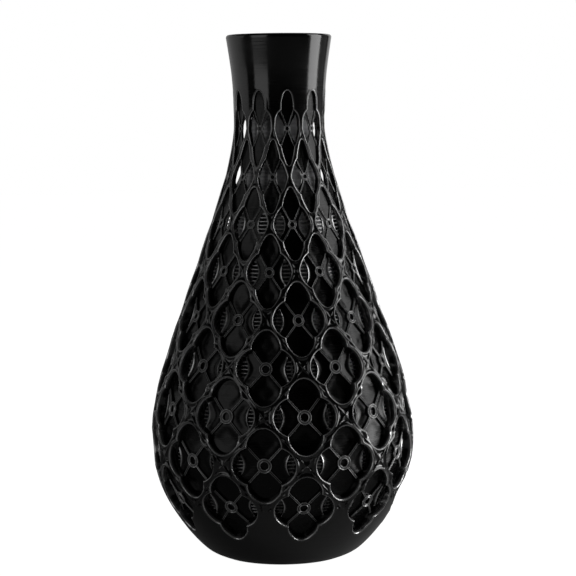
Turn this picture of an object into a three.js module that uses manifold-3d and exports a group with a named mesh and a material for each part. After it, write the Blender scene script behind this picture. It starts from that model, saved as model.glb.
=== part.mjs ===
// A black clay pot with a double wall: a plain inner pot inside an outer wall that is
// pierced all round with four-petalled openings, ten to a row in nine staggered rows.
// A rosette (a ring on four ribs) sits on the inner pot behind each opening, and the inner
// pot has a leaf-shaped window at each side of a flower. Every piece here is one that the
// potter forms by itself and joins with slip. Millimetres, +Z up, the foot stands on z = 0
// and a flower of the lowest row faces -Y.
import * as THREE from "three";
import { mergeVertices } from "three/addons/utils/BufferGeometryUtils.js";
import Module from "manifold-3d";

const wasm = await Module();
wasm.setup();

// ---- Driving dimensions ----
const HEIGHT = 360;
const COLUMNS = 10;
const ROWS = 9;
const ROSETTE_ROWS = 5; // the rows whose rosettes are nodes of their own
const ROW_PITCH = 32.8; // from row to row, measured along the outer profile
const FIRST_ROW = 60.5; // along the profile, from the edge of the foot to the lowest row

const OUTER_WALL = 7; // how deep the petals go
const INNER_WALL = 3.2;
const COLLAR_WALL = 4;
const JOINT = 0.3; // the slip joint left between two pieces
const WALL_DEPTH = OUTER_WALL + JOINT + INNER_WALL;

const COLLAR_FROM = 357; // along the profile, where the pierced wall ends and the neck collar starts
const BOWL_TO = 26; // along the profile, where the plain bowl ends and the pierced wall starts
const LOWER_JOINT_ROW = 2; // the walls are joined midway between this row and the next
const UPPER_JOINT_ROW = 5;
const FOOT_HOLE = 34; // radius of the floor disc's seat in the foot
const FLOOR_LIFT = 1.5; // the floor disc stays clear of the table
const FLOOR_THICKNESS = 7;

const SEGMENTS = 4 * COLUMNS; // round the pot
const PLAIN_STEP = 12; // along the profile of the plain pieces
const PETAL_SEGMENTS = 4;
const FLATNESS = 0.03; // facets that agree this well are joined
const CUT_DEPTH = 17;

// Half the space of one flower: half a column's angle across, and one row pitch up.
const HALF_COLUMN = Math.PI / COLUMNS;
// The flower's outline in units of that half space.
const FLOWER = {
  notch: new THREE.Vector2(0.41, 0.39), // where two petals meet
  sideTip: 0.8,
  upperTip: 0.79,
  sideCentre: 0.31, // of the side petals' arcs
  upperCentre: 0.45, // of the upper and lower petals' arcs
};
const WINDOW = { centre: 0.66, halfWidth: 0.12, halfHeight: 0.21 };
const RING_OUTER = 0.195;
const RING_INNER = 0.125;
const RIB_WIDTH = 2;
const ROSETTE_HEIGHT = 2.3;

const BLACK_CLAY = { color: 0x0b0b0c, roughness: 0.22, metalness: 0 };
const INNER_CLAY = { color: 0x101011, roughness: 0.35, metalness: 0 };

// ---- The outer profile, as radius and height, from the edge of the foot to the lip ----
const profile = new THREE.SplineCurve(
  [
    [43.5, 0],
    [55, 6],
    [69.5, 22],
    [82.5, 43],
    [90.2, 66],
    [91.2, 92],
    [86.5, 119],
    [76.5, 151],
    [64.5, 185],
    [52.5, 219],
    [40.6, 254],
    [33.1, 283],
    [31.4, 306],
    [32.6, 332],
    [36.5, HEIGHT],
  ].map(([r, z]) => new THREE.Vector2(r, z)),
);
profile.arcLengthDivisions = 1200;
const PROFILE_LENGTH = profile.getLength();

// The point at a distance along the profile and a depth below the surface.
function wallPoint(along, depth) {
  const share = along / PROFILE_LENGTH;
  const point = profile.getPointAt(share);
  const tangent = profile.getTangentAt(share);
  return new THREE.Vector2(
    point.x - depth * tangent.y,
    point.y + depth * tangent.x,
  );
}

// The point of the wall at a depth, level with the surface point at a distance along it.
// Every joint is cut level like this.
function levelPoint(along, depth) {
  const height = wallPoint(along, 0).y;
  const tangent = profile.getTangentAt(along / PROFILE_LENGTH);
  const beside = wallPoint(along - (depth * tangent.x) / tangent.y, depth);
  return new THREE.Vector2(beside.x, height);
}

// Distances along the profile, evenly spaced from one to another.
function stations(from, to, step) {
  const steps = Math.max(1, Math.round((to - from) / step));
  return Array.from(
    { length: steps + 1 },
    (_, i) => from + ((to - from) * i) / steps,
  );
}

// ---- Solids ----
function solidOf(geometry) {
  const bare = geometry.clone();
  bare.deleteAttribute("normal");
  bare.deleteAttribute("uv");
  const merged = mergeVertices(bare, 1e-4);
  return new wasm.Manifold(
    new wasm.Mesh({
      numProp: 3,
      vertProperties: merged.attributes.position.array,
      triVerts: new Uint32Array(merged.index.array),
    }),
  );
}

function geometryOf(solid) {
  const { vertProperties, triVerts } = solid.getMesh();
  const geometry = new THREE.BufferGeometry();
  geometry.setAttribute(
    "position",
    new THREE.BufferAttribute(vertProperties, 3),
  );
  geometry.setIndex(new THREE.BufferAttribute(triVerts, 1));
  geometry.computeVertexNormals();
  return geometry;
}

// A closed outline of (radius, height) points turned round the Z axis.
function turned(outline) {
  const closed = [...outline, outline[0]];
  return new THREE.LatheGeometry(closed, SEGMENTS).rotateX(Math.PI / 2);
}

// A band of wall between two distances along the profile and two depths below the surface.
function band(from, to, outerDepth, innerDepth) {
  const rows = Array.from({ length: ROWS }, (_, i) => rowAlong(i + 1));
  const between = rows.filter((s) => s > from && s < to);
  const side = (depth) => [
    levelPoint(from, depth),
    ...between.map((s) => wallPoint(s, depth)),
    levelPoint(to, depth),
  ];
  return turned([...side(outerDepth), ...side(innerDepth).reverse()]);
}

// ---- Where the flowers are ----
function rowAlong(row) {
  return FIRST_ROW + (row - 1) * ROW_PITCH;
}

// Midway between a row and the next.
function midRow(row) {
  return FIRST_ROW + (row - 0.5) * ROW_PITCH;
}

// Rows are numbered from 1 at the bottom, and every second row is turned by half a column.
function flowerAngle(row, column) {
  return (2 * (column - 1) + (row % 2 ? 0 : 1)) * HALF_COLUMN;
}

// The frame of a place on the outer surface: x across, y up the profile, z outwards.
function placeOn(along, angle) {
  const point = wallPoint(along, 0);
  const tangent = profile.getTangentAt(along / PROFILE_LENGTH);
  const across = new THREE.Vector3(Math.cos(angle), Math.sin(angle), 0);
  const radial = new THREE.Vector3(Math.sin(angle), -Math.cos(angle), 0);
  const up = radial
    .clone()
    .multiplyScalar(tangent.x)
    .setZ(tangent.y);
  const outwards = new THREE.Vector3().crossVectors(across, up);
  const origin = radial.multiplyScalar(point.x).setZ(point.y);
  return {
    radius: point.x,
    matrix: new THREE.Matrix4()
      .makeBasis(across, up, outwards)
      .setPosition(origin),
  };
}

// The half width of a flower's space at its row.
function halfWidth(row) {
  return wallPoint(rowAlong(row), 0).x * Math.sin(HALF_COLUMN);
}

// ---- Cutters ----
// Four elliptical petals that meet in notches.
function flowerShape(width, height) {
  const { notch, sideTip, upperTip, sideCentre, upperCentre } = FLOWER;
  const sideRadius = sideTip - sideCentre;
  const sideEnd = Math.acos((notch.x - sideCentre) / sideRadius);
  const sideHeight = notch.y / Math.sin(sideEnd);
  const upperRadius = upperTip - upperCentre;
  const upperEnd = Math.asin((notch.y - upperCentre) / upperRadius);
  const upperWidth = notch.x / Math.cos(upperEnd);
  const arcs = [1, -1].flatMap((side) => {
    const turn = side > 0 ? 0 : Math.PI;
    return [
      new THREE.EllipseCurve(
        side * sideCentre * width,
        0,
        sideRadius * width,
        sideHeight * height,
        turn - sideEnd,
        turn + sideEnd,
      ),
      new THREE.EllipseCurve(
        0,
        side * upperCentre * height,
        upperWidth * width,
        upperRadius * height,
        turn + upperEnd,
        turn + Math.PI - upperEnd,
      ),
    ];
  });
  return new THREE.Shape(
    arcs.flatMap((arc) => arc.getPoints(PETAL_SEGMENTS).slice(1)),
  );
}

// A leaf with a point above and below.
function windowShape(width, height) {
  const shape = new THREE.Shape();
  shape.moveTo(0, -height);
  shape.quadraticCurveTo(2 * width, 0, 0, height);
  shape.quadraticCurveTo(-2 * width, 0, 0, -height);
  return shape;
}

// A shape extruded inwards through the wall, narrowing towards the pot's axis.
function cutter(shape, place) {
  const above = 3;
  const geometry = new THREE.ExtrudeGeometry(shape, {
    depth: CUT_DEPTH + above,
    bevelEnabled: false,
    curveSegments: 2,
  }).translate(0, 0, -CUT_DEPTH);
  const position = geometry.attributes.position;
  for (let i = 0; i < position.count; i++) {
    const narrowing = 1 + position.getZ(i) / place.radius;
    position.setX(i, position.getX(i) * narrowing);
    position.setY(i, position.getY(i) * narrowing);
  }
  return solidOf(geometry.applyMatrix4(place.matrix));
}

function everyFlower(rows, make) {
  return rows.flatMap((row) =>
    Array.from({ length: COLUMNS }, (_, i) => make(row, i + 1)),
  );
}

function rowsBetween(from, to) {
  return Array.from({ length: ROWS }, (_, i) => i + 1).filter(
    (row) => rowAlong(row) > from - ROW_PITCH && rowAlong(row) < to + ROW_PITCH,
  );
}

function flowerCutters(from, to) {
  return everyFlower(rowsBetween(from, to), (row, column) =>
    cutter(
      flowerShape(halfWidth(row), ROW_PITCH),
      placeOn(rowAlong(row), flowerAngle(row, column)),
    ),
  );
}

function windowCutters(from, to) {
  return everyFlower(rowsBetween(from, to), (row, column) =>
    [-1, 1].map((side) =>
      cutter(
        windowShape(
          WINDOW.halfWidth * halfWidth(row),
          WINDOW.halfHeight * ROW_PITCH,
        ),
        placeOn(
          rowAlong(row),
          flowerAngle(row, column) + side * WINDOW.centre * HALF_COLUMN,
        ),
      ),
    ),
  ).flat();
}

function pierced(from, to, outerDepth, innerDepth, cutters) {
  const wall = solidOf(band(from, to, outerDepth, innerDepth));
  const cut = wall.subtract(wasm.Manifold.union(cutters));
  return geometryOf(cut.asOriginal().simplify(FLATNESS));
}

// ---- Pieces ----
const pot = new THREE.Group();
pot.name = "black_clay_pot";

function add(name, geometry, finish) {
  const material = new THREE.MeshStandardMaterial(finish);
  const mesh = new THREE.Mesh(geometry, material);
  mesh.name = name;
  pot.add(mesh);
  return mesh;
}

function piercedWall(name, from, to) {
  const cutters = flowerCutters(from, to);
  add(name, pierced(from, to, 0, OUTER_WALL, cutters), BLACK_CLAY);
}

function innerPot(name, from, to) {
  const cutters = windowCutters(from, to);
  const outer = OUTER_WALL + JOINT;
  add(name, pierced(from, to, outer, WALL_DEPTH, cutters), INNER_CLAY);
}

// The plain bowl under the flowers: as thick as both walls, with a seat for the floor disc.
function baseBowl() {
  const outside = stations(0, BOWL_TO, PLAIN_STEP).map((s) => wallPoint(s, 0));
  const seatTop = FLOOR_LIFT + FLOOR_THICKNESS + 1;
  add(
    "base_bowl",
    turned(
      [
        new THREE.Vector2(FOOT_HOLE, 0),
        ...outside,
        levelPoint(BOWL_TO, WALL_DEPTH),
        new THREE.Vector2(FOOT_HOLE + 8, seatTop + 2),
        new THREE.Vector2(FOOT_HOLE, seatTop),
      ],
    ),
    BLACK_CLAY,
  );
}

function floorDisc() {
  add(
    "floor_disc",
    new THREE.CylinderGeometry(
      FOOT_HOLE - JOINT,
      FOOT_HOLE - JOINT,
      FLOOR_THICKNESS,
      SEGMENTS,
    )
      .rotateX(Math.PI / 2)
      .translate(0, 0, FLOOR_LIFT + FLOOR_THICKNESS / 2),
    INNER_CLAY,
  );
}

// The plain flared neck. It starts as thick as both walls and thins to a rounded lip.
function neckCollar() {
  const lipRadius = COLLAR_WALL / 2;
  const along = stations(
    COLLAR_FROM + JOINT,
    PROFILE_LENGTH - lipRadius,
    PLAIN_STEP,
  );
  const outside = along.map((s) => wallPoint(s, 0));
  const inside = along.map((s, i) =>
    i === 0 ? levelPoint(s, WALL_DEPTH) : wallPoint(s, COLLAR_WALL),
  );
  const lip = [
    new THREE.Vector2(36.1, HEIGHT - 0.6),
    new THREE.Vector2(34.8, HEIGHT),
    new THREE.Vector2(33.3, HEIGHT - 0.6),
  ];
  add(
    "neck_collar",
    turned([...outside, ...lip, ...inside.reverse()]),
    BLACK_CLAY,
  );
}

// A ring with four ribs that reach for the notches of its flower.
function rosetteShape(row) {
  const width = halfWidth(row);
  const ringOuter = RING_OUTER * width;
  const notch = new THREE.Vector2(width, ROW_PITCH).multiply(FLOWER.notch);
  const narrowing = 1 - OUTER_WALL / wallPoint(rowAlong(row), 0).x;
  const reach = notch.length() * narrowing - 2 * JOINT;
  const heading = notch.angle();
  const half = RIB_WIDTH / 2;
  const spread = Math.asin(half / ringOuter);
  const shape = new THREE.Shape();
  const headings = [
    heading,
    Math.PI - heading,
    Math.PI + heading,
    2 * Math.PI - heading,
  ];
  headings.forEach((angle, i) => {
    const rib = new THREE.Vector2(Math.cos(angle), Math.sin(angle));
    const side = new THREE.Vector2(-rib.y, rib.x).multiplyScalar(half);
    const end = rib.multiplyScalar(reach);
    const right = end.clone().sub(side);
    const left = end.clone().add(side);
    const next = headings[(i + 1) % 4] + (i === 3 ? 2 * Math.PI : 0);
    if (i === 0)
      shape.moveTo(
        ringOuter * Math.cos(angle - spread),
        ringOuter * Math.sin(angle - spread),
      );
    shape.lineTo(right.x, right.y);
    shape.lineTo(left.x, left.y);
    shape.absarc(0, 0, ringOuter, angle + spread, next - spread);
  });
  const hole = new THREE.Path();
  for (const quarter of [4, 3, 2, 1])
    hole.absarc(
      0,
      0,
      RING_INNER * width,
      (quarter * Math.PI) / 2,
      ((quarter - 1) * Math.PI) / 2,
      true,
    );
  shape.holes.push(hole);
  return shape;
}

function rosette(row, column) {
  const place = placeOn(rowAlong(row), flowerAngle(row, column));
  const geometry = new THREE.ExtrudeGeometry(rosetteShape(row), {
    depth: ROSETTE_HEIGHT,
    bevelEnabled: false,
    curveSegments: 1,
  }).translate(0, 0, -OUTER_WALL);
  const mesh = add(`rosette_row${row}_${column}`, geometry, BLACK_CLAY);
  mesh.applyMatrix4(place.matrix);
}

// ---- Assembly ----
const lowerJoint = midRow(LOWER_JOINT_ROW);
const upperJoint = midRow(UPPER_JOINT_ROW);
const bands = [
  ["lower", BOWL_TO + JOINT, lowerJoint],
  ["middle", lowerJoint + JOINT, upperJoint],
  ["upper", upperJoint + JOINT, COLLAR_FROM],
];
floorDisc();
baseBowl();
for (const [level, from, to] of bands) {
  innerPot(`inner_pot_${level}`, from, to);
  piercedWall(`pierced_wall_${level}`, from, to);
}
everyFlower(
  Array.from({ length: ROSETTE_ROWS }, (_, i) => i + 1),
  rosette,
);
neckCollar();

export default pot;
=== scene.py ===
"""Looks for the black clay pot: a glossy double wall pierced with four-petalled openings.

Everything is worked out in millimetres round the pot's axis, and scaled to metres when a mesh is
made. A place on the pot is an angle round the axis (0 faces -Y), a distance along the outer
profile from the edge of the foot, and a height above the outer surface (below it is negative).
"""

import math

import bmesh
import bpy
import numpy as np
from mathutils import Matrix, Vector

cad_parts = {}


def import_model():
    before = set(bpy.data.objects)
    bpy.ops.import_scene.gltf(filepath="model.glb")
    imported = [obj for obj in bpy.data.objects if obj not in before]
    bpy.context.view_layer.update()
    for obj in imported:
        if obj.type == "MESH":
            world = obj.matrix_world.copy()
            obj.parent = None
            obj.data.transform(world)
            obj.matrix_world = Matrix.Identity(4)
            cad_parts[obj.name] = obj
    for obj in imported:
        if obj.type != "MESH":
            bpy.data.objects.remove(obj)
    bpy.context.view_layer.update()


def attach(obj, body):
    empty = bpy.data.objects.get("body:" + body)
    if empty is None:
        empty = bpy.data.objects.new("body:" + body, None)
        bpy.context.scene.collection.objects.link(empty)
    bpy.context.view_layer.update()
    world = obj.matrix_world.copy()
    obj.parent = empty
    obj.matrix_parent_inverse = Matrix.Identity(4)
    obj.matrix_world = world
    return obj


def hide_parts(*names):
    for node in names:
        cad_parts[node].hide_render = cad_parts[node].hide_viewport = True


MM = 0.001
WELD = 2e-6  # metres; grid points that are closer are one

# ---- The pot's driving dimensions, the same as the CAD part's ----
HEIGHT = 360
COLUMNS = 10
ROWS = 9
ROSETTE_NODE_ROWS = 5
ROW_PITCH = 32.8
FIRST_ROW = 60.5
BOWL_TO = 26
COLLAR_FROM = 357
LOWER_JOINT_ROW = 2
UPPER_JOINT_ROW = 5
INNER_FACE = 10.5  # depth of the inside of the pot under its outside
COLLAR_WALL = 4
FOOT_HOLE = 34
FLOOR_LIFT = 1.5
FLOOR_THICKNESS = 7

PROFILE = [
    (43.5, 0),
    (55, 6),
    (69.5, 22),
    (82.5, 43),
    (90.2, 66),
    (91.2, 92),
    (86.5, 119),
    (76.5, 151),
    (64.5, 185),
    (52.5, 219),
    (40.6, 254),
    (33.1, 283),
    (31.4, 306),
    (32.6, 332),
    (36.5, HEIGHT),
]

# ---- One flower, in millimetres at the belly; narrower rows squeeze it sideways ----
HALF_COLUMN = math.pi / COLUMNS
FLOWER_HALF_WIDTH = 20.9
WINDOW_TO_RING = 0.4  # the least gap between a window and the ring
SIDE_PETAL = (8.1, 12.8)  # centre from the middle, radius
UPPER_PETAL = (14.2, 11.3)
BELLY_HALF_ANGLE = 13.6  # degrees from the middle to the tip of a side petal
NECK_HALF_ANGLE = 16.4
HALF_STRAP = 0.75  # the least distance from a flower to the edge of its diamond
STRAP_CORNER = 24  # how sharply an outline turns to follow that edge

SETBACK = 0.4  # how far the belly lies inside the CAD part's profile, to keep within its facets
SETBACK_RADIUS = (80, 90)  # it starts at the first and is full at the second
RIM_ROUND = 0.8  # radius of the openings' edges
RIM_BEAD = 0.16
BEAD_PLACE = (0.95, 0.4)  # distance from the rim, width
WALL_TAPER = 0.7
FLOOR_DEPTH = 6.0
DISH = 0.9
CHORD = 19.5  # a fine crease crosses the upper and lower petals here
CREASE = 0.16
CREASE_WIDTH = 0.45
CHORD_SLOPE = 0.06
BELLY_WINDOW = (5.8, 8.0)  # width, half of the height
NECK_WINDOW = (7.4, 9.8)
WINDOW_CLOSING = 0.26  # how far a belly window's sides close in towards the back
JUNCTION_DEPTH = 1.0  # the net sinks where four straps cross,
JUNCTION_EDGE = (1.6, 2.3)  # from here to here off the rims,
JUNCTION_RIDGE = (0.25, 0.7)  # and off the line where two flowers' diamonds meet
TOP_ROW_BULGE = 0.12  # how far the top row's diamonds swell into the plain clay over them
NECK_LOBE_NARROWING = 0.14  # how much slimmer the neck's upper and lower petals are
LOBE_FROM = (8, 15)  # the slimming starts and is full at these heights over the middle
FREE_FROM = (0, 7)  # and so does the top row's freedom from its diamonds' edges
NECK_THINNING = 0.34  # the neck's carved wall is this much of the belly's
NECK_THIN_RADIUS = (36, 75)
NARROW_RADIUS = 32  # measures with a neck and a belly value change over these radii
WIDE_RADIUS = 92
RING_SMALLEST = 0.75  # a rosette's ring has this radius, and more as the pot's radius grows
RING_GROWTH = 0.049
RING_HOLE = 0.55  # of the ring's radius
FLOOR_BACK = 7.9  # depth of the back of the carved wall
LINER_DEPTH = ((32, 10), (90, 19))  # outer radius, depth of the plain inner pot behind it
LINER_WALL = 2.0
LINER_FROM = 16
LINER_RIDGE_PITCH = 2.6
LINER_RIDGE = 0.2
BAR_PITCH = 2.6
BAR_RADIUS = 0.45
BAR_DEPTH = 7.2
BARS_EACH_WAY = 3
BAR_ROWS = 7  # the neck's windows have none

SILL_LIP = 0.4  # the raised edge of a window
SILL_LIP_WIDTH = 0.6
RIB_WIDTH = 1.6
RIB_FLANK = 0.25  # the walls' columns are set this far beside a rib
RIB_SHORT = 0.1  # a rib ends this far short of its notch
RIB_TOP = -4.3
RIB_ROOT = -7.1  # the bottom of ribs and rings, sunk in the floor
LIP_LENGTH = 2  # the collar's lip rolls over from this far under its top
LIP_RADIUS = 1.95
NET_BACK = -7.2  # where the net ends and the flowers' floors start

QUADRANT = 24  # samples round a quarter of a flower
RIB_SAMPLES = 3  # of them on each side of a rib
NET_STEPS = (0, 0.1, 0.25, 0.45, 0.7, 1.0, 1.4, 2.0, 2.8, 4.5, 8, 99)  # mm from the rim
FLOOR_LEVELS = 14
OUTLINE_SAMPLES = 400
TURN_SEGMENTS = 240  # round the plain pieces
LINER_SEGMENTS = 96
RING_SEGMENTS = 48
RING_SECTION_SAMPLES = 33
RIB_SECTION_SAMPLES = 25
BAR_SEGMENTS = 10
SHARP_ANGLE = 50  # degrees; edges that turn more are shaded as corners

RUBBED_HIGHLIGHT_WIDTH = 0.36  # mm of rim rubbed shiny by handling and painted with a grey highlight
# A faint grey painted on the straps and plain clay: a little wear and a painted sheen
STRAP_WEAR_AND_SHEEN = 0.003
# How strongly the window bars are painted grey and metallic, as a painted glint
BAR_PAINTED_GLINT = 0.5
# The grey of rubbed edges, also used as a painted highlight on rims, ribs, sills and bars
WORN_EDGE_HIGHLIGHT_GREY = (0.9, 0.9, 0.9, 1)
WORN_ROUGHNESS = 0.3
COOL_TINT = 1.03  # how much bluer than grey the clay is

# ---- The camera: degrees and metres. Azimuth 0 is in front of the pot, 90 at its right ----
CAMERA_AZIMUTH = -10.17
CAMERA_TILT = 5.21
CAMERA_ROLL = -0.551
CAMERA_LENS = 122.6
CAMERA_BACK = 1.3572
CAMERA_ASIDE = 0.0048
CAMERA_RISE = 0.3091

# ---- The stage ----
LIGHT_AIM = 0.18  # height of the point that the panels face
LIGHTS = [
    # name, azimuth from the camera, elevation, distance, (width, height), watts
    ("right_softbox", 90, 12, 1.2, (0.66, 1.4), 8.1),
    ("right_low_panel", 84, -12, 0.47, (0.32, 0.14), 0.52),
    ("left_panel", -44, 10, 1.5, (0.95, 1.4), 2.5),
    ("right_wall", 118, 8, 1.6, (0.9, 1.6), 0.5),
    ("right_backdrop", 160, 8, 1.6, (1.1, 1.6), 3.0),
    ("left_wall", -125, 8, 1.6, (3.0, 1.6), 4.5),
]
WORLD_GLOW = 0.005  # what the clay sees of the white surroundings; the camera sees 1
FLOOR_GLOW = 0.01
FLOOR_GREY = (0.35, 0.35, 0.35, 1)
FLOOR_HALF_SIDE = 6


# ---- The outer profile ----
def spline(points, share):
    """A uniform Catmull-Rom curve through points, as three.js draws it."""
    points = np.array(points, float)
    along = np.clip(share, 0, 1) * (len(points) - 1)
    start = np.minimum(along.astype(int), len(points) - 2)
    t = (along - start)[..., None]
    p0 = points[np.maximum(start - 1, 0)]
    p1 = points[start]
    p2 = points[start + 1]
    p3 = points[np.minimum(start + 2, len(points) - 1)]
    v0 = (p2 - p0) / 2
    v1 = (p3 - p1) / 2
    cubic = 2 * p1 - 2 * p2 + v0 + v1
    square = -3 * p1 + 3 * p2 - 2 * v0 - v1
    return ((cubic * t + square) * t + v0) * t + p1


FINE = spline(PROFILE, np.linspace(0, 1, 6001))
FINE[:, 0] -= SETBACK * np.interp(FINE[:, 0], SETBACK_RADIUS, (0, 1))
FINE_LENGTH = np.concatenate([[0], np.cumsum(np.hypot(*np.diff(FINE, axis=0).T))])
PROFILE_LENGTH = FINE_LENGTH[-1]
FINE_TANGENT = np.gradient(FINE, FINE_LENGTH, axis=0)


def profile_at(along):
    """Radius, height and the tangent's two parts at a distance along the profile."""
    columns = (FINE[:, 0], FINE[:, 1], FINE_TANGENT[:, 0], FINE_TANGENT[:, 1])
    return [np.interp(along, FINE_LENGTH, column) for column in columns]


def thinned(lift, radius):
    """Depths under the surface, which are less at the neck."""
    thin = NECK_THINNING + (1 - NECK_THINNING) * smooth(radius, *NECK_THIN_RADIUS)
    return np.where(np.asarray(lift) < 0, lift * thin, lift)


def place(angle, along, lift):
    """Points on the pot, in metres."""
    radius, height, outward, upward = profile_at(along)
    lift = thinned(lift, radius)
    reach = radius + lift * upward
    rise = height - lift * outward
    return np.stack([reach * np.sin(angle), -reach * np.cos(angle), rise], axis=-1) * MM


def row_along(row):
    return FIRST_ROW + (row - 1) * ROW_PITCH


def flower_angle(row, column):
    return (2 * column + (0 if row % 2 else 1)) * HALF_COLUMN


def smooth(value, low, high):
    share = np.clip((value - low) / (high - low), 0, 1)
    return share * share * (3 - 2 * share)


# ---- One flower's outline ----
class Flower:
    """The outline, window and cell of a row's flowers, in millimetres at the row's radius."""

    def __init__(self, row):
        self.row = row
        self.radius = float(profile_at(row_along(row))[0])
        self.belly = float(np.interp(self.radius, (NARROW_RADIUS, WIDE_RADIUS), (0, 1)))
        half_angle = self.between(NECK_HALF_ANGLE, BELLY_HALF_ANGLE)
        self.squeeze = self.radius * math.radians(half_angle) / FLOWER_HALF_WIDTH
        self.cell = (self.radius * HALF_COLUMN, ROW_PITCH)
        self.slope = math.hypot(1 / self.cell[0], 1 / self.cell[1])
        self.notch = self.find_notch()
        self.ring = RING_SMALLEST + RING_GROWTH * self.radius
        heading = math.atan2(self.notch[1], self.notch[0])
        self.rib = np.array([math.cos(heading), math.sin(heading)])
        self.upper = self.make_quadrant(row == ROWS, TOP_ROW_BULGE * (row == ROWS))
        self.lower = self.make_quadrant(False, -TOP_ROW_BULGE * (row == ROWS + 1))

    def between(self, neck, belly):
        """A measure that changes evenly from the neck's narrowest row to the belly's widest."""
        return neck + (belly - neck) * self.belly

    def fit(self, points):
        """Points drawn towards the flower's middle where they come too near the diamond's edge."""
        share = np.abs(points[..., 0]) / self.cell[0] + np.abs(points[..., 1]) / self.cell[1]
        crowding = share / (1 - HALF_STRAP * self.slope)
        return points / ((1 + crowding**STRAP_CORNER) ** (1 / STRAP_CORNER))[..., None]

    def find_notch(self):
        """Where the side petal's circle meets the upper petal's, squeezed as the row is."""
        (cx, rx), (cy, ry) = SIDE_PETAL, UPPER_PETAL
        gap = math.hypot(cx, cy)
        reach = (rx * rx - ry * ry + gap * gap) / (2 * gap)
        rise = math.sqrt(rx * rx - reach * reach)
        x = cx - reach * cx / gap + rise * cy / gap
        y = reach * cy / gap + rise * cx / gap
        return self.fit(np.array([x * self.squeeze, y]))

    def side_arc(self, share):
        """From the side petal's tip (0) to the notch (1)."""
        centre, radius = SIDE_PETAL
        end = math.atan2(self.notch[1], self.notch[0] / self.squeeze - centre)
        turn = share * end
        x = (centre + radius * np.cos(turn)) * self.squeeze
        return np.stack([x, radius * np.sin(turn)], axis=-1)

    def upper_arc(self, share):
        """From the notch (0) to the upper petal's tip (1)."""
        centre, radius = UPPER_PETAL
        start = math.atan2(self.notch[1] - centre, self.notch[0] / self.squeeze)
        turn = start + share * (math.pi / 2 - start)
        x = radius * np.cos(turn) * self.squeeze
        return np.stack([x, centre + radius * np.sin(turn)], axis=-1)

    def make_quadrant(self, free, bulge):
        """Where each of a quadrant's columns meets the outline, the window's sill, and the cell's
        edge. A free quadrant has no neighbour to keep clear of."""
        half = QUADRANT // 2
        count = half - RIB_SAMPLES
        side = self.side_arc(np.linspace(0, 1, OUTLINE_SAMPLES))
        upper = self.upper_arc(np.linspace(0, 1, OUTLINE_SAMPLES))
        across = np.array([-self.rib[1], self.rib[0]])
        lateral = 0.5 * RIB_WIDTH + RIB_FLANK
        backwards = np.linspace(1, 0, OUTLINE_SAMPLES)
        side_end = np.interp(lateral, -(side[::-1] @ across), backwards)
        upper_start = np.interp(lateral, upper @ across, np.linspace(0, 1, OUTLINE_SAMPLES))
        near_side = 1 - (1 - side_end) * np.linspace(1, 0, RIB_SAMPLES + 1)[1:]
        near_upper = upper_start * np.linspace(0, 1, RIB_SAMPLES + 1)[:-1]
        arcs = [
            self.side_arc(np.linspace(0, side_end, count + 1)),
            self.side_arc(near_side),
            self.upper_arc(near_upper[1:]),
            self.upper_arc(np.linspace(upper_start, 1, count + 1)),
        ]
        raw = np.concatenate(arcs)[: QUADRANT + 1]
        outline = self.fit(raw)
        if free:
            outline += (raw - outline) * smooth(raw[:, 1], *FREE_FROM)[:, None]
        slimming = self.between(NECK_LOBE_NARROWING, 0) * smooth(raw[:, 1], *LOBE_FROM)
        outline[:, 0] *= 1 - slimming
        share = (1 - np.cos(np.linspace(0, math.pi, QUADRANT + 1))) / 2
        share = 0.5 * share + 0.5 * np.linspace(0, 1, QUADRANT + 1)
        swell = bulge * 4 * share * (1 - share)
        edge = np.stack([1 - share + swell, share + swell], axis=-1) * self.cell
        width = min(
            self.between(NECK_WINDOW[0], BELLY_WINDOW[0]),
            outline[0, 0] - self.ring - WINDOW_TO_RING,
        )
        half_height = self.between(NECK_WINDOW[1], BELLY_WINDOW[1])
        inside = np.clip(1 - (outline[:, 1] / half_height) ** 2, 0, None)
        is_side = np.arange(QUADRANT + 1) < half
        sill = outline.copy()
        sill[:, 0] -= np.where(is_side, inside * width, 0)
        return {"outline": outline, "sill": sill, "edge": edge, "open": is_side & (inside > 0)}

    def all_round(self, name):
        """The quadrants' columns in a full turn, starting at the right-hand tip."""
        upper, lower = self.upper[name], self.lower[name]
        flip_x = upper[::-1] * [-1, 1]
        flip_both = lower * [-1, -1]
        flip_y = lower[::-1] * [1, -1]
        return np.concatenate([upper[:-1], flip_x[:-1], flip_both[:-1], flip_y[:-1]])

    def window_flags(self):
        upper, lower = self.upper["open"], self.lower["open"]
        return np.concatenate([upper[:-1], upper[::-1][:-1], lower[:-1], lower[::-1][:-1]])

    # Heights above the outer surface
    def net_height(self, points, away):
        """The net: a rounded, slightly beaded rim, and sunken triangles where four straps cross.
        away is the distance from the rim."""
        rounding = np.clip(1 - away / RIM_ROUND, 0, 1)
        edge = -RIM_ROUND * (1 - np.sqrt(np.clip(1 - rounding**2, 0, 1)))
        bead_at, bead_width = BEAD_PLACE
        bead = RIM_BEAD * np.exp(-(((away - bead_at) / bead_width) ** 2))
        share = np.abs(points[..., 0]) / self.cell[0] + np.abs(points[..., 1]) / self.cell[1]
        ridge = (1 - share) / self.slope
        sunk = smooth(away, *JUNCTION_EDGE) * smooth(ridge, *JUNCTION_RIDGE)
        sunk *= (points[..., 1] < 0) | (self.row < ROWS)
        sunk *= (points[..., 1] > 0) | (self.row > 1)
        return edge + bead - JUNCTION_DEPTH * sunk

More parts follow.
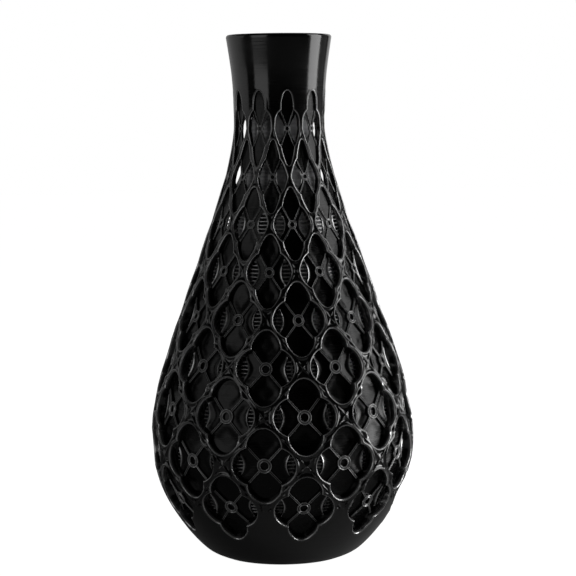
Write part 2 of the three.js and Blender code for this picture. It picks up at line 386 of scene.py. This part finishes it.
    def floor_height(self, points, from_edge):
        """The petals' floors: each is dished, and a crease crosses the upper and lower ones."""
        x = np.abs(points[..., 0])
        y = np.abs(points[..., 1])
        lateral = np.abs(y * self.rib[0] - x * self.rib[1])
        from_ring = np.hypot(x, y) - self.ring
        dish = DISH * smooth(lateral, 0.6, 7 * self.squeeze**0.5) * smooth(from_ring, -1, 5)
        slope = CHORD_SLOPE * np.clip(y - CHORD, 0, None)
        crease = CREASE * np.exp(-(((y - CHORD) / CREASE_WIDTH) ** 2))
        return -FLOOR_DEPTH - dish * smooth(from_edge, -1, 5) + slope + crease


def distance_to(points, outline):
    """The distance from each point to a closed outline."""
    start = outline
    step = np.roll(outline, -1, axis=0) - start
    flat = points.reshape(-1, 1, 2)
    share = ((flat - start) * step).sum(-1) / (step**2).sum(-1)
    near = start + np.clip(share, 0, 1)[..., None] * step
    return np.sqrt(((flat - near) ** 2).sum(-1)).min(axis=1).reshape(points.shape[:-1])


# ---- Meshes ----
class Patches:
    """Grids of points, joined where they touch and made into one mesh."""

    def __init__(self):
        self.points = []
        self.faces = []
        self.slots = []
        self.wear_and_highlight = []
        self.count = 0

    def add(self, grid, keep=None, slot=0, closed=True, wear_and_highlight=0):
        """grid is levels x columns x 3. Columns whose keep is false get no faces.
        wear_and_highlight is
        0 on black clay and 1 on an edge that is rubbed and painted with a grey highlight."""
        levels, columns = grid.shape[:2]
        self.wear_and_highlight.append(np.broadcast_to(wear_and_highlight, (levels, columns)).reshape(-1))
        index = self.count + np.arange(levels * columns).reshape(levels, columns)
        self.points.append(grid.reshape(-1, 3))
        self.count += levels * columns
        after = np.roll(index, -1, axis=1)
        faces = np.stack([index[:-1], after[:-1], after[1:], index[1:]], axis=-1)
        wanted = np.ones(columns, bool) if keep is None else keep.copy()
        wanted[-1] &= closed
        faces = faces[:, wanted].reshape(-1, 4)
        self.faces.append(faces)
        self.slots.append(np.full(len(faces), slot))

    def mesh(self, name):
        """The mesh, with its normals outwards."""
        points = np.concatenate(self.points)
        keys = np.round(points / WELD).astype(np.int64)
        _, first, back = np.unique(keys, axis=0, return_index=True, return_inverse=True)
        corners = back.reshape(-1)[np.concatenate(self.faces)]
        flat = [list(dict.fromkeys(face)) for face in corners.tolist()]
        slots = np.concatenate(self.slots)
        whole = [i for i, face in enumerate(flat) if len(face) > 2]
        mesh = bpy.data.meshes.new(name)
        mesh.from_pydata(points[first].tolist(), [], [flat[i] for i in whole])
        mesh.polygons.foreach_set("material_index", slots[whole].tolist())
        shape = bmesh.new()
        shape.from_mesh(mesh)
        bmesh.ops.recalc_face_normals(shape, faces=shape.faces)
        shape.to_mesh(mesh)
        shape.free()
        wear_and_highlight = mesh.attributes.new("wear_and_highlight", "FLOAT", "POINT")
        wear_and_highlight.data.foreach_set("value", np.concatenate(self.wear_and_highlight)[first].tolist())
        mesh.polygons.foreach_set("use_smooth", [True] * len(mesh.polygons))
        mesh.set_sharp_from_angle(angle=math.radians(SHARP_ANGLE))
        mesh.update()
        return mesh


def make_piece(name, mesh, materials, nodes=()):
    piece = bpy.data.objects.new(name, mesh)
    bpy.context.scene.collection.objects.link(piece)
    if not mesh.materials:
        for material in materials:
            mesh.materials.append(material)
    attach(piece, "root")
    if nodes:
        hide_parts(*nodes)
    return piece


def spread(start, end, shares):
    """Levels of points from one ring of points to another."""
    return start + (end - start) * np.asarray(shares)[:, None, None]


def stack(points, low, high, count=2):
    """The same points at evenly spaced heights from low to high: the points and the heights."""
    share = np.linspace(0, 1, count)[:, None]
    return np.repeat(points[None], count, axis=0), low + (high - low) * share


# ---- The walls ----
class Cell:
    """The grids of one flower and the diamond of wall round it, in the row's own plane."""

    def __init__(self, row):
        self.flower = flower = Flower(row)
        self.rim = flower.all_round("outline")
        self.edge = flower.all_round("edge")
        shrink = 1 - WALL_TAPER / np.hypot(*self.rim.T)[:, None]
        self.low = self.rim * shrink
        self.sill = flower.all_round("sill") * shrink
        closing = (self.sill - self.low) * WINDOW_CLOSING * flower.belly
        self.low_back = self.low + closing
        self.sill_back = self.sill - closing
        self.open = flower.window_flags()

    def put(self, points, height):
        """Points of the plane as (angle, along, height)."""
        angle = points[..., 0] / self.flower.radius
        along = points[..., 1] + row_along(self.flower.row)
        return np.stack([angle, along, np.broadcast_to(height, angle.shape)], axis=-1)

    def net(self):
        """The front, the side walls and the hidden back of the net round the flower."""
        steps = np.asarray(NET_STEPS)[:, None] / np.hypot(*(self.edge - self.rim).T)
        even = np.linspace(0, 1, len(NET_STEPS))[:, None]
        share = np.minimum(steps, even)[..., None]
        front = self.rim + (self.edge - self.rim) * share
        away = distance_to(front, self.rim)
        # Rims, and faintly the straps, are painted grey: a painted highlight that also stands for
        # handling wear
        rubbed_and_highlit = np.exp(-((away / RUBBED_HIGHLIGHT_WIDTH) ** 2)) + STRAP_WEAR_AND_SHEEN
        side_heights = np.array([NET_BACK, -5, -2.8, -RIM_ROUND - 0.4, -RIM_ROUND])[:, None]
        side_share = (side_heights[:, 0] - NET_BACK) / (-RIM_ROUND - NET_BACK)
        sides = spread(self.low, self.rim, side_share)
        # The side walls' top edge gets the same painted highlight
        side_wear_and_highlight = np.array([0, 0, 0, 0.1, 0.9])[:, None]
        back = spread(self.low, self.edge, (0, 1))
        return [
            (self.put(front, self.flower.net_height(front, away)), None, 0, rubbed_and_highlit),
            (self.put(sides, side_heights), None, 0, side_wear_and_highlight),
            (self.put(back, NET_BACK), None, 0, 0),
        ]

    def inner(self):
        """The petals' floors, the face under the net, the inner face and the windows' sides."""
        middle = np.zeros_like(self.sill)
        front = spread(middle, self.sill, 1 - (1 - np.linspace(0, 1, FLOOR_LEVELS)) ** 1.6)
        from_sill = np.hypot(*np.moveaxis(self.sill - front, -1, 0))
        floor = self.flower.floor_height(front, from_sill)
        sill_edge = np.exp(-((from_sill / SILL_LIP_WIDTH) ** 2)) * self.open
        floor += SILL_LIP * sill_edge
        lip = np.stack([floor[-1], np.full_like(floor[-1], NET_BACK)])
        share = np.linspace(0, 1, 4)
        sill_heights = floor[-1] + (-FLOOR_BACK - floor[-1]) * share[:, None]
        sill_sides = spread(self.sill, self.sill_back, share)
        low_sides = spread(self.low, self.low_back, share)
        low_heights = NET_BACK + (-FLOOR_BACK - NET_BACK) * share[:, None]
        net_face = spread(self.low, self.edge, (0, 0.5, 1))
        inside = spread(self.low_back, self.edge, (0, 0.5, 1))
        backs = spread(middle, self.sill_back, np.linspace(0, 1, 5))
        walled = ~self.open
        return [
            # The windows' raised sills are painted with a grey highlight
            (self.put(front, floor), None, 0, sill_edge),
            (self.put(net_face, NET_BACK), None, 0, 0),
            (self.put(stack(self.low, 0, 1)[0], lip), walled, 0, 0),
            (self.put(backs, -FLOOR_BACK), None, 1, 0),
            (self.put(inside, -FLOOR_BACK), None, 1, 0),
            (self.put(sill_sides, sill_heights), self.open, 1, 0),
            (self.put(low_sides, low_heights), self.open, 1, 0),
        ]

    def half_edge(self, sign):
        """The upper (1) or lower (-1) half of the diamond, from the right to the left corner."""
        if sign > 0:
            return self.edge[: 2 * QUADRANT + 1]
        return np.concatenate([self.edge[2 * QUADRANT :], self.edge[:1]])[::-1]


class Band:
    """One ring of wall, with a row of flowers to each row of diamonds."""

    def __init__(self, high, low, low_slot):
        self.patches = Patches()
        self.high = high
        self.low = low
        self.low_slot = low_slot

    def round_the_pot(self, row, grid, keep=None, slot=0, wear_and_highlight=0, closed=True):
        for column in range(COLUMNS):
            angle, along, height = np.moveaxis(grid, -1, 0)
            turned = place(angle + flower_angle(row, column), along, height)
            self.patches.add(turned, keep, slot, closed, wear_and_highlight)

    def flowers(self, row, grids):
        for grid, keep, slot, wear_and_highlight in grids:
            self.round_the_pot(row, grid, keep, slot, wear_and_highlight)

    def close(self, row, points):
        """A hidden wall from the high to the low face along an edge of the band."""
        grid = Cell(row).put(*stack(points, self.high, self.low))
        self.round_the_pot(row, grid, closed=False)

    def plain(self, row, sign, end):
        """The flowerless triangles beyond the first or last row, and the band's plain end."""
        cell = Cell(row)
        edge = cell.half_edge(sign)
        base = np.stack([edge[:, 0], np.full(len(edge), end - row_along(row))], axis=-1)
        levels = spread(base, edge, np.linspace(0, 1, 9))
        # The top face gets the straps' faint painted sheen
        wear_and_painted_shine = STRAP_WEAR_AND_SHEEN * (self.high == 0)
        self.round_the_pot(row, cell.put(levels, self.high), wear_and_highlight=wear_and_painted_shine, closed=False)
        self.round_the_pot(row, cell.put(levels, self.low), slot=self.low_slot, closed=False)
        self.close(row, base)


def make_band(name, rows, high, low, low_slot, grids_of):
    """A ring of wall with these rows of flowers. It ends midway between rows, or in plain clay."""
    band = Band(high, low, low_slot)
    for row in rows:
        band.flowers(row, grids_of(Cell(row)))
    first, last = rows[0], rows[-1]
    if first == 1:
        band.plain(0, 1, BOWL_TO)
    else:
        band.close(first, Cell(first).half_edge(-1))
    if last == ROWS:
        band.plain(ROWS + 1, -1, COLLAR_FROM)
    else:
        band.close(last, Cell(last).half_edge(1))
    return band.patches.mesh(name)


def make_walls(clay, floor_clay, inner_clay):
    bands = {
        "lower": range(1, LOWER_JOINT_ROW + 1),
        "middle": range(LOWER_JOINT_ROW + 1, UPPER_JOINT_ROW + 1),
        "upper": range(UPPER_JOINT_ROW + 1, ROWS + 1),
    }
    for level, rows in bands.items():
        name = f"net_{level}"
        net = make_band(name, rows, 0, NET_BACK, 0, Cell.net)
        make_piece(name, net, [clay], [f"pierced_wall_{level}"])
        name = f"flower_floors_{level}"
        inner = make_band(name, rows, NET_BACK, -FLOOR_BACK, 1, Cell.inner)
        make_piece(name, inner, [floor_clay, inner_clay], [f"inner_pot_{level}"])


# ---- Rosettes ----
def ring_grid(flower):
    """A flat ring with a bead along both of its edges. Its section's points are (distance from
    the middle, height, how worn and painted with a grey highlight)."""
    outer = flower.ring
    hole = RING_HOLE * outer
    step = outer / 5.1
    section = [
        (hole - 0.25 * step, RIB_ROOT, 0),
        (hole - 0.1 * step, RIB_TOP - 0.7, 0),
        (hole + 0.05 * step, RIB_TOP + 0.1, 0.75),
        (hole + 0.35 * step, RIB_TOP + 0.4, 0.55),
        ((hole + outer) / 2, RIB_TOP - 0.25, 0.05),
        (outer - 0.35 * step, RIB_TOP + 0.4, 0.55),
        (outer - 0.05 * step, RIB_TOP + 0.1, 0.75),
        (outer + 0.1 * step, RIB_TOP - 0.7, 0),
        (outer + 0.25 * step, RIB_ROOT, 0),
    ]
    radius, height, wear_and_highlight = spline(section, np.linspace(0, 1, RING_SECTION_SAMPLES)).T
    turn = np.linspace(0, 2 * math.pi, RING_SEGMENTS, endpoint=False)
    x = radius[:, None] * np.cos(turn)
    y = radius[:, None] * np.sin(turn)
    return np.stack([x, y], axis=-1), height[:, None], wear_and_highlight[:, None]


def rib_grid(flower, flip):
    """A strap from the ring to a notch, a little hollow between its two edges. Its section's
    points are (share of its half width, height, how worn and painted with a grey highlight)."""
    half = RIB_WIDTH / 2 * (0.2 + 0.8 * flower.radius / 90)
    section = [
        (-1.15, RIB_ROOT, 0),
        (-1.05, RIB_TOP - 0.7, 0),
        (-0.9, RIB_TOP, 0.5),
        (-0.65, RIB_TOP + 0.15, 0.3),
        (0, RIB_TOP - 0.2, 0),
        (0.65, RIB_TOP + 0.15, 0.3),
        (0.9, RIB_TOP, 0.5),
        (1.05, RIB_TOP - 0.7, 0),
        (1.15, RIB_ROOT, 0),
    ]
    lateral, height, wear_and_highlight = spline(section, np.linspace(0, 1, RIB_SECTION_SAMPLES)).T
    reach = np.linspace(flower.ring * 0.8, np.hypot(*flower.notch) - RIB_SHORT, 9)
    rib = flower.rib * flip
    across = np.array([-rib[1], rib[0]])
    points = reach[None, :, None] * rib + (lateral * half)[:, None, None] * across
    return points, height[:, None], wear_and_highlight[:, None]


def rosette_mesh(row, flower):
    patches = Patches()

    def put(points, height, wear_and_highlight, closed):
        angle = points[..., 0] / flower.radius
        along = points[..., 1] + row_along(row)
        grid = place(angle, along, np.broadcast_to(height, angle.shape))
        patches.add(grid, closed=closed, wear_and_highlight=wear_and_highlight)

    put(*ring_grid(flower), closed=True)
    for flip in ([1, 1], [-1, 1], [-1, -1], [1, -1]):
        put(*rib_grid(flower, flip), closed=False)
    return patches.mesh(f"rosette_row{row}")


def make_rosettes(clay):
    for row in range(1, ROWS + 1):
        mesh = rosette_mesh(row, Flower(row))
        for column in range(COLUMNS):
            name = f"rosette_row{row}_{column + 1}"
            nodes = [name] if row <= ROSETTE_NODE_ROWS else []
            piece = make_piece(f"flower_{name}", mesh, [clay], nodes)
            piece.rotation_euler.z = flower_angle(row, column)


def make_window_bars(clay):
    """Short level bars across the windows, from a window's sill to the wall."""
    turn = np.linspace(0, 2 * math.pi, BAR_SEGMENTS, endpoint=False)
    for row in range(1, BAR_ROWS + 1):
        flower = Flower(row)
        outline, sill = flower.lower["outline"], flower.lower["sill"]
        side = outline[:, 1] < flower.notch[1]
        patches = Patches()
        for step in range(-BARS_EACH_WAY, BARS_EACH_WAY + 1):
            y = step * BAR_PITCH
            outer = np.interp(abs(y), outline[side, 1], outline[side, 0])
            inner = np.interp(abs(y), outline[side, 1], sill[side, 0])
            if outer - inner < 1:
                continue
            along = row_along(row) + y + BAR_RADIUS * np.cos(turn)
            height = BAR_RADIUS * np.sin(turn) - BAR_DEPTH
            for column in range(COLUMNS):
                for side_sign in (-1, 1):
                    x = side_sign * np.linspace(inner - 0.3, outer, 4)[:, None]
                    angle = flower_angle(row, column) + x / flower.radius
                    grid = place(*np.broadcast_arrays(angle, along, height))
                    # The bars are painted grey and half metallic as a painted glint
                    patches.add(grid, wear_and_highlight=BAR_PAINTED_GLINT)
        name = f"window_bars_row{row}"
        make_piece(name, patches.mesh(name), [clay])


# ---- Plain pieces ----
def turned_mesh(name, outline, segments=TURN_SEGMENTS, wear_and_highlight=0):
    """A closed outline of (radius, height) points turned round the axis."""
    radius, height = np.asarray(outline).T
    turn = np.linspace(0, 2 * math.pi, segments, endpoint=False)
    x = radius[:, None] * np.sin(turn)
    y = -radius[:, None] * np.cos(turn)
    z = np.broadcast_to(height[:, None], x.shape)
    patches = Patches()
    patches.add(np.stack([x, y, z], axis=-1) * MM, wear_and_highlight=wear_and_highlight)
    return patches.mesh(name)


def wall_side(along, lift):
    """Points of the wall's section at a height over its surface."""
    radius, height, outward, upward = profile_at(along)
    return np.stack([radius + lift * upward, height - lift * outward], axis=-1)


def make_bowl(clay):
    outside = wall_side(np.linspace(0.6, BOWL_TO, 24), 0)
    seat = FLOOR_LIFT + FLOOR_THICKNESS + 1
    inner_rim = wall_side(np.array([BOWL_TO]), -INNER_FACE)
    foot = [(FOOT_HOLE, 0.5), (FOOT_HOLE + 0.5, 0), (42.8, 0), (43.4, 0.12)]
    inside = [(FOOT_HOLE + 10, seat + 2.5), (FOOT_HOLE + 3, seat + 0.4), (FOOT_HOLE, seat)]
    outline = np.concatenate([foot, outside, inner_rim, inside, foot[:1]])
    # The base band gets the straps' faint painted sheen
    mesh = turned_mesh("base_band", outline, wear_and_highlight=STRAP_WEAR_AND_SHEEN)
    make_piece("base_band", mesh, [clay], ["base_bowl"])


def make_liner(clay):
    """The plain inner pot, with fine throwing ridges on its outside."""
    along = np.arange(LINER_FROM, COLLAR_FROM - 0.2, LINER_RIDGE_PITCH / 6)
    ridge = LINER_RIDGE * np.sin(2 * math.pi * along / LINER_RIDGE_PITCH)
    radius = profile_at(along)[0]
    depth = np.interp(radius, *zip(*LINER_DEPTH))
    outside = wall_side(along, ridge - depth)
    inside = wall_side(along, -depth - LINER_WALL)[::-6]
    outline = np.concatenate([outside, inside, outside[:1]])
    mesh = turned_mesh("inner_liner", outline, LINER_SEGMENTS)
    make_piece("inner_liner", mesh, [clay])


def make_floor(inner_clay):
    """The floor disc, a little dished, with a softened edge."""
    edge = FOOT_HOLE - 0.3
    top = FLOOR_LIFT + FLOOR_THICKNESS
    outline = [(0.01, FLOOR_LIFT + 0.4), (20, FLOOR_LIFT + 0.3), (edge - 1.5, FLOOR_LIFT)]
    outline += [(edge, FLOOR_LIFT + 1), (edge, top - 1), (edge - 1, top)]
    outline += [(24, top - 0.5), (12, top - 0.9), (0.01, top - 1)]
    mesh = turned_mesh("pot_floor", outline)
    make_piece("pot_floor", mesh, [inner_clay], ["floor_disc"])


def make_collar(clay):
    """The flared neck, with a lip that rolls over to the inside."""
    end = PROFILE_LENGTH - LIP_LENGTH
    outside = wall_side(np.linspace(COLLAR_FROM, end, 30), 0)
    inside = wall_side(np.linspace(end, COLLAR_FROM + 6, 24), -COLLAR_WALL)
    foot = wall_side(np.array([COLLAR_FROM]), -INNER_FACE)
    centre = (outside[-1] + inside[0]) / 2
    turn = np.linspace(0.1, math.pi - 0.1, 12)
    roll = np.stack([np.cos(turn) * LIP_RADIUS, np.sin(turn) * (HEIGHT - centre[1])], axis=-1)
    outline = np.concatenate([outside, centre + roll, inside, foot, outside[:1]])
    # The collar gets the straps' faint painted sheen
    mesh = turned_mesh("flared_collar", outline, wear_and_highlight=STRAP_WEAR_AND_SHEEN)
    make_piece("flared_collar", mesh, [clay], ["neck_collar"])


# ---- Materials ----
def node(tree, kind, settings=None, **inputs):
    """A node with its settings and inputs. An input is a value or another node's output, and its
    key is the socket's name, or _ and its number."""
    made = tree.nodes.new(kind)
    for key, value in (settings or {}).items():
        setattr(made, key, value)
    for key, value in inputs.items():
        socket = made.inputs[int(key[1:])] if key[1:].isdigit() else made.inputs[key]
        if isinstance(value, bpy.types.NodeSocket):
            tree.links.new(value, socket)
        else:
            socket.default_value = value
    return made


def ramp(tree, source, stops):
    made = node(tree, "ShaderNodeValToRGB", _0=source)
    elements = made.color_ramp.elements
    for (position, value), element in zip(stops, [elements[0], elements[1]]):
        element.position = position
        element.color = (value, value, value * COOL_TINT, 1)
    return made.outputs[0]


def clay_material(name, dark, light, rough_low, rough_high, ridges=0, ior=1.6, coat=0.25):
    """Black clay: blotchy soot, burnishing strokes round the pot, pits, and lighter edges that are
    worn and painted with a grey highlight.
    ridges is how close level ridges lie, or 0 for none."""
    material = bpy.data.materials.new(name)
    material.use_nodes = True
    tree = material.node_tree
    shader = tree.nodes["Principled BSDF"]
    where = node(tree, "ShaderNodeTexCoord").outputs["Object"]
    blotch = node(tree, "ShaderNodeTexNoise", Vector=where, Scale=38.0, Detail=5.0).outputs[0]
    flat = node(tree, "ShaderNodeMapping", Vector=where, Scale=(60, 60, 900)).outputs[0]
    strokes = node(tree, "ShaderNodeTexNoise", Vector=flat, Scale=1.0, Detail=4.0).outputs[0]
    grain = node(tree, "ShaderNodeTexNoise", Vector=where, Scale=1500.0, Detail=3.0).outputs[0]
    body = ramp(tree, blotch, [(0.35, dark), (0.7, light)])
    # This attribute paints edges grey and metallic: handling wear and a painted highlight
    wear_and_highlight = node(tree, "ShaderNodeAttribute", {"attribute_name": "wear_and_highlight"}).outputs["Fac"]
    patchy = node(tree, "ShaderNodeMapRange", _0=blotch, _1=0.3, _2=0.7, _3=0.7, _4=1.1)
    rubbed_and_highlit = node(tree, "ShaderNodeMath", {"operation": "MULTIPLY", "use_clamp": True})
    tree.links.new(wear_and_highlight, rubbed_and_highlit.inputs[0])
    tree.links.new(patchy.outputs[0], rubbed_and_highlit.inputs[1])
    wear_and_painted_shine = rubbed_and_highlit.outputs[0]
    shade = node(tree, "ShaderNodeMix", {"data_type": "RGBA"}, _0=wear_and_painted_shine, _6=body, _7=WORN_EDGE_HIGHLIGHT_GREY)
    tree.links.new(shade.outputs[2], shader.inputs["Base Color"])
    tree.links.new(wear_and_painted_shine, shader.inputs["Metallic"])
    mixed = node(tree, "ShaderNodeMath", {"operation": "MULTIPLY"}, _0=blotch, _1=strokes)
    rough = node(
        tree,
        "ShaderNodeMapRange",
        _0=mixed.outputs[0],
        _1=0.12,
        _2=0.4,
        _3=rough_low,
        _4=rough_high,
    )
    matte = node(tree, "ShaderNodeMix", _0=wear_and_painted_shine, _2=rough.outputs[0], _3=WORN_ROUGHNESS)
    tree.links.new(matte.outputs[0], shader.inputs["Roughness"])
    last = node(tree, "ShaderNodeBump", Strength=0.25, Distance=4e-5, Height=grain).outputs[0]
    bump = node(
        tree,
        "ShaderNodeBump",
        Strength=0.5,
        Distance=12e-5,
        Height=strokes,
        Normal=last,
    )
    last = bump.outputs[0]
    if ridges:
        wave = node(
            tree,
            "ShaderNodeTexWave",
            {"bands_direction": "Z", "wave_profile": "SIN"},
            Vector=where,
            Scale=ridges,
            Distortion=0.6,
            Detail=1.0,
        )
        bump = node(
            tree,
            "ShaderNodeBump",
            Strength=1.0,
            Distance=0.0012,
            Height=wave.outputs[1],
            Normal=last,
        )
        last = bump.outputs[0]
    tree.links.new(last, shader.inputs["Normal"])
    shader.inputs["IOR"].default_value = ior
    shader.inputs["Coat Weight"].default_value = coat
    shader.inputs["Coat Roughness"].default_value = 0.08
    return material


# ---- Camera, light and stage ----
def make_camera():
    """Level with the neck and tipped a little down, just to the left of a column of flowers."""
    azimuth = math.radians(CAMERA_AZIMUTH)
    back = Vector((math.sin(azimuth), -math.cos(azimuth), 0))
    right = Vector((math.cos(azimuth), math.sin(azimuth), 0))
    pitch = math.radians(CAMERA_TILT)
    roll = math.radians(CAMERA_ROLL)
    rise = Vector((0, 0, 1))
    forward = -back * math.cos(pitch) - rise * math.sin(pitch)
    up = rise * math.cos(pitch) - back * math.sin(pitch)
    rolled_right = right * math.cos(roll) + up * math.sin(roll)
    rolled_up = up * math.cos(roll) - right * math.sin(roll)
    data = bpy.data.cameras.new("camera")
    data.lens = CAMERA_LENS
    camera = bpy.data.objects.new("camera", data)
    bpy.context.scene.collection.objects.link(camera)
    turn = Matrix((rolled_right, rolled_up, -forward)).transposed().to_4x4()
    spot = back * CAMERA_BACK + right * CAMERA_ASIDE + rise * CAMERA_RISE
    camera.matrix_world = Matrix.Translation(spot) @ turn
    bpy.context.scene.camera = camera


def soft_light(name, azimuth, elevation, distance, size, power):
    """A soft panel that faces the pot and that the camera doesn't see."""
    turn = math.radians(azimuth + CAMERA_AZIMUTH)
    lift = math.radians(elevation)
    flat = Vector((math.sin(turn), -math.cos(turn), 0)) * math.cos(lift)
    aim = Vector((0, 0, LIGHT_AIM))
    light = bpy.data.lights.new(name, "AREA")
    light.shape = "RECTANGLE"
    light.size, light.size_y = size
    light.energy = power
    lamp = bpy.data.objects.new(name, light)
    bpy.context.scene.collection.objects.link(lamp)
    lamp.location = aim + (flat + Vector((0, 0, math.sin(lift)))) * distance
    lamp.rotation_euler = (lamp.location - aim).to_track_quat("Z", "Y").to_euler()
    lamp.visible_camera = False


def make_stage():
    world = bpy.data.worlds.new("studio")
    bpy.context.scene.world = world
    world.use_nodes = True
    tree = world.node_tree
    seen = node(tree, "ShaderNodeLightPath").outputs["Is Camera Ray"]
    glow = node(tree, "ShaderNodeMapRange", _0=seen, _3=WORLD_GLOW, _4=1.0)
    tree.links.new(glow.outputs[0], tree.nodes["Background"].inputs["Strength"])
    tree.nodes["Background"].inputs["Color"].default_value = (1, 1, 1, 1)

    floor_mesh = bpy.data.meshes.new("pale_floor")
    side = FLOOR_HALF_SIDE
    corners = [(-side, -side, 0), (side, -side, 0), (side, side, 0), (-side, side, 0)]
    floor_mesh.from_pydata(corners, [], [(0, 1, 2, 3)])
    floor = bpy.data.objects.new("pale_floor", floor_mesh)
    bpy.context.scene.collection.objects.link(floor)
    material = bpy.data.materials.new("pale_floor")
    material.use_nodes = True
    tree = material.node_tree
    shader = tree.nodes["Principled BSDF"]
    seen = node(tree, "ShaderNodeLightPath").outputs["Is Camera Ray"]
    glow = node(tree, "ShaderNodeMapRange", _0=seen, _3=FLOOR_GLOW, _4=1.0)
    tree.links.new(glow.outputs[0], shader.inputs["Emission Strength"])
    shader.inputs["Base Color"].default_value = FLOOR_GREY
    shader.inputs["Roughness"].default_value = 0.9
    shader.inputs["Specular IOR Level"].default_value = 0
    shader.inputs["Emission Color"].default_value = (1, 1, 1, 1)
    floor_mesh.materials.append(material)

    for light in LIGHTS:
        soft_light(*light)


def main():
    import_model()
    clay = clay_material("burnished_black_clay", 0.001, 0.004, 0.09, 0.22, coat=0.4)
    inner_clay = clay_material("smoothed_black_clay", 0.008, 0.018, 0.2, 0.35, 130)
    floor_clay = clay_material("flower_floor_clay", 0.001, 0.004, 0.19, 0.33, ior=1.35, coat=0)
    # The inner pot is grey unburnished clay, lightened well past it as a painted reflection in the
    # windows
    liner_clay_painted_reflection = clay_material("ridged_grey_clay_painted_reflection", 0.4, 0.65, 0.3, 0.45)
    make_walls(clay, floor_clay, inner_clay)
    make_rosettes(clay)
    make_window_bars(clay)
    make_bowl(clay)
    make_liner(liner_clay_painted_reflection)
    make_floor(inner_clay)
    make_collar(clay)
    make_camera()
    make_stage()
    bpy.context.scene.view_settings.view_transform = "Standard"


main()
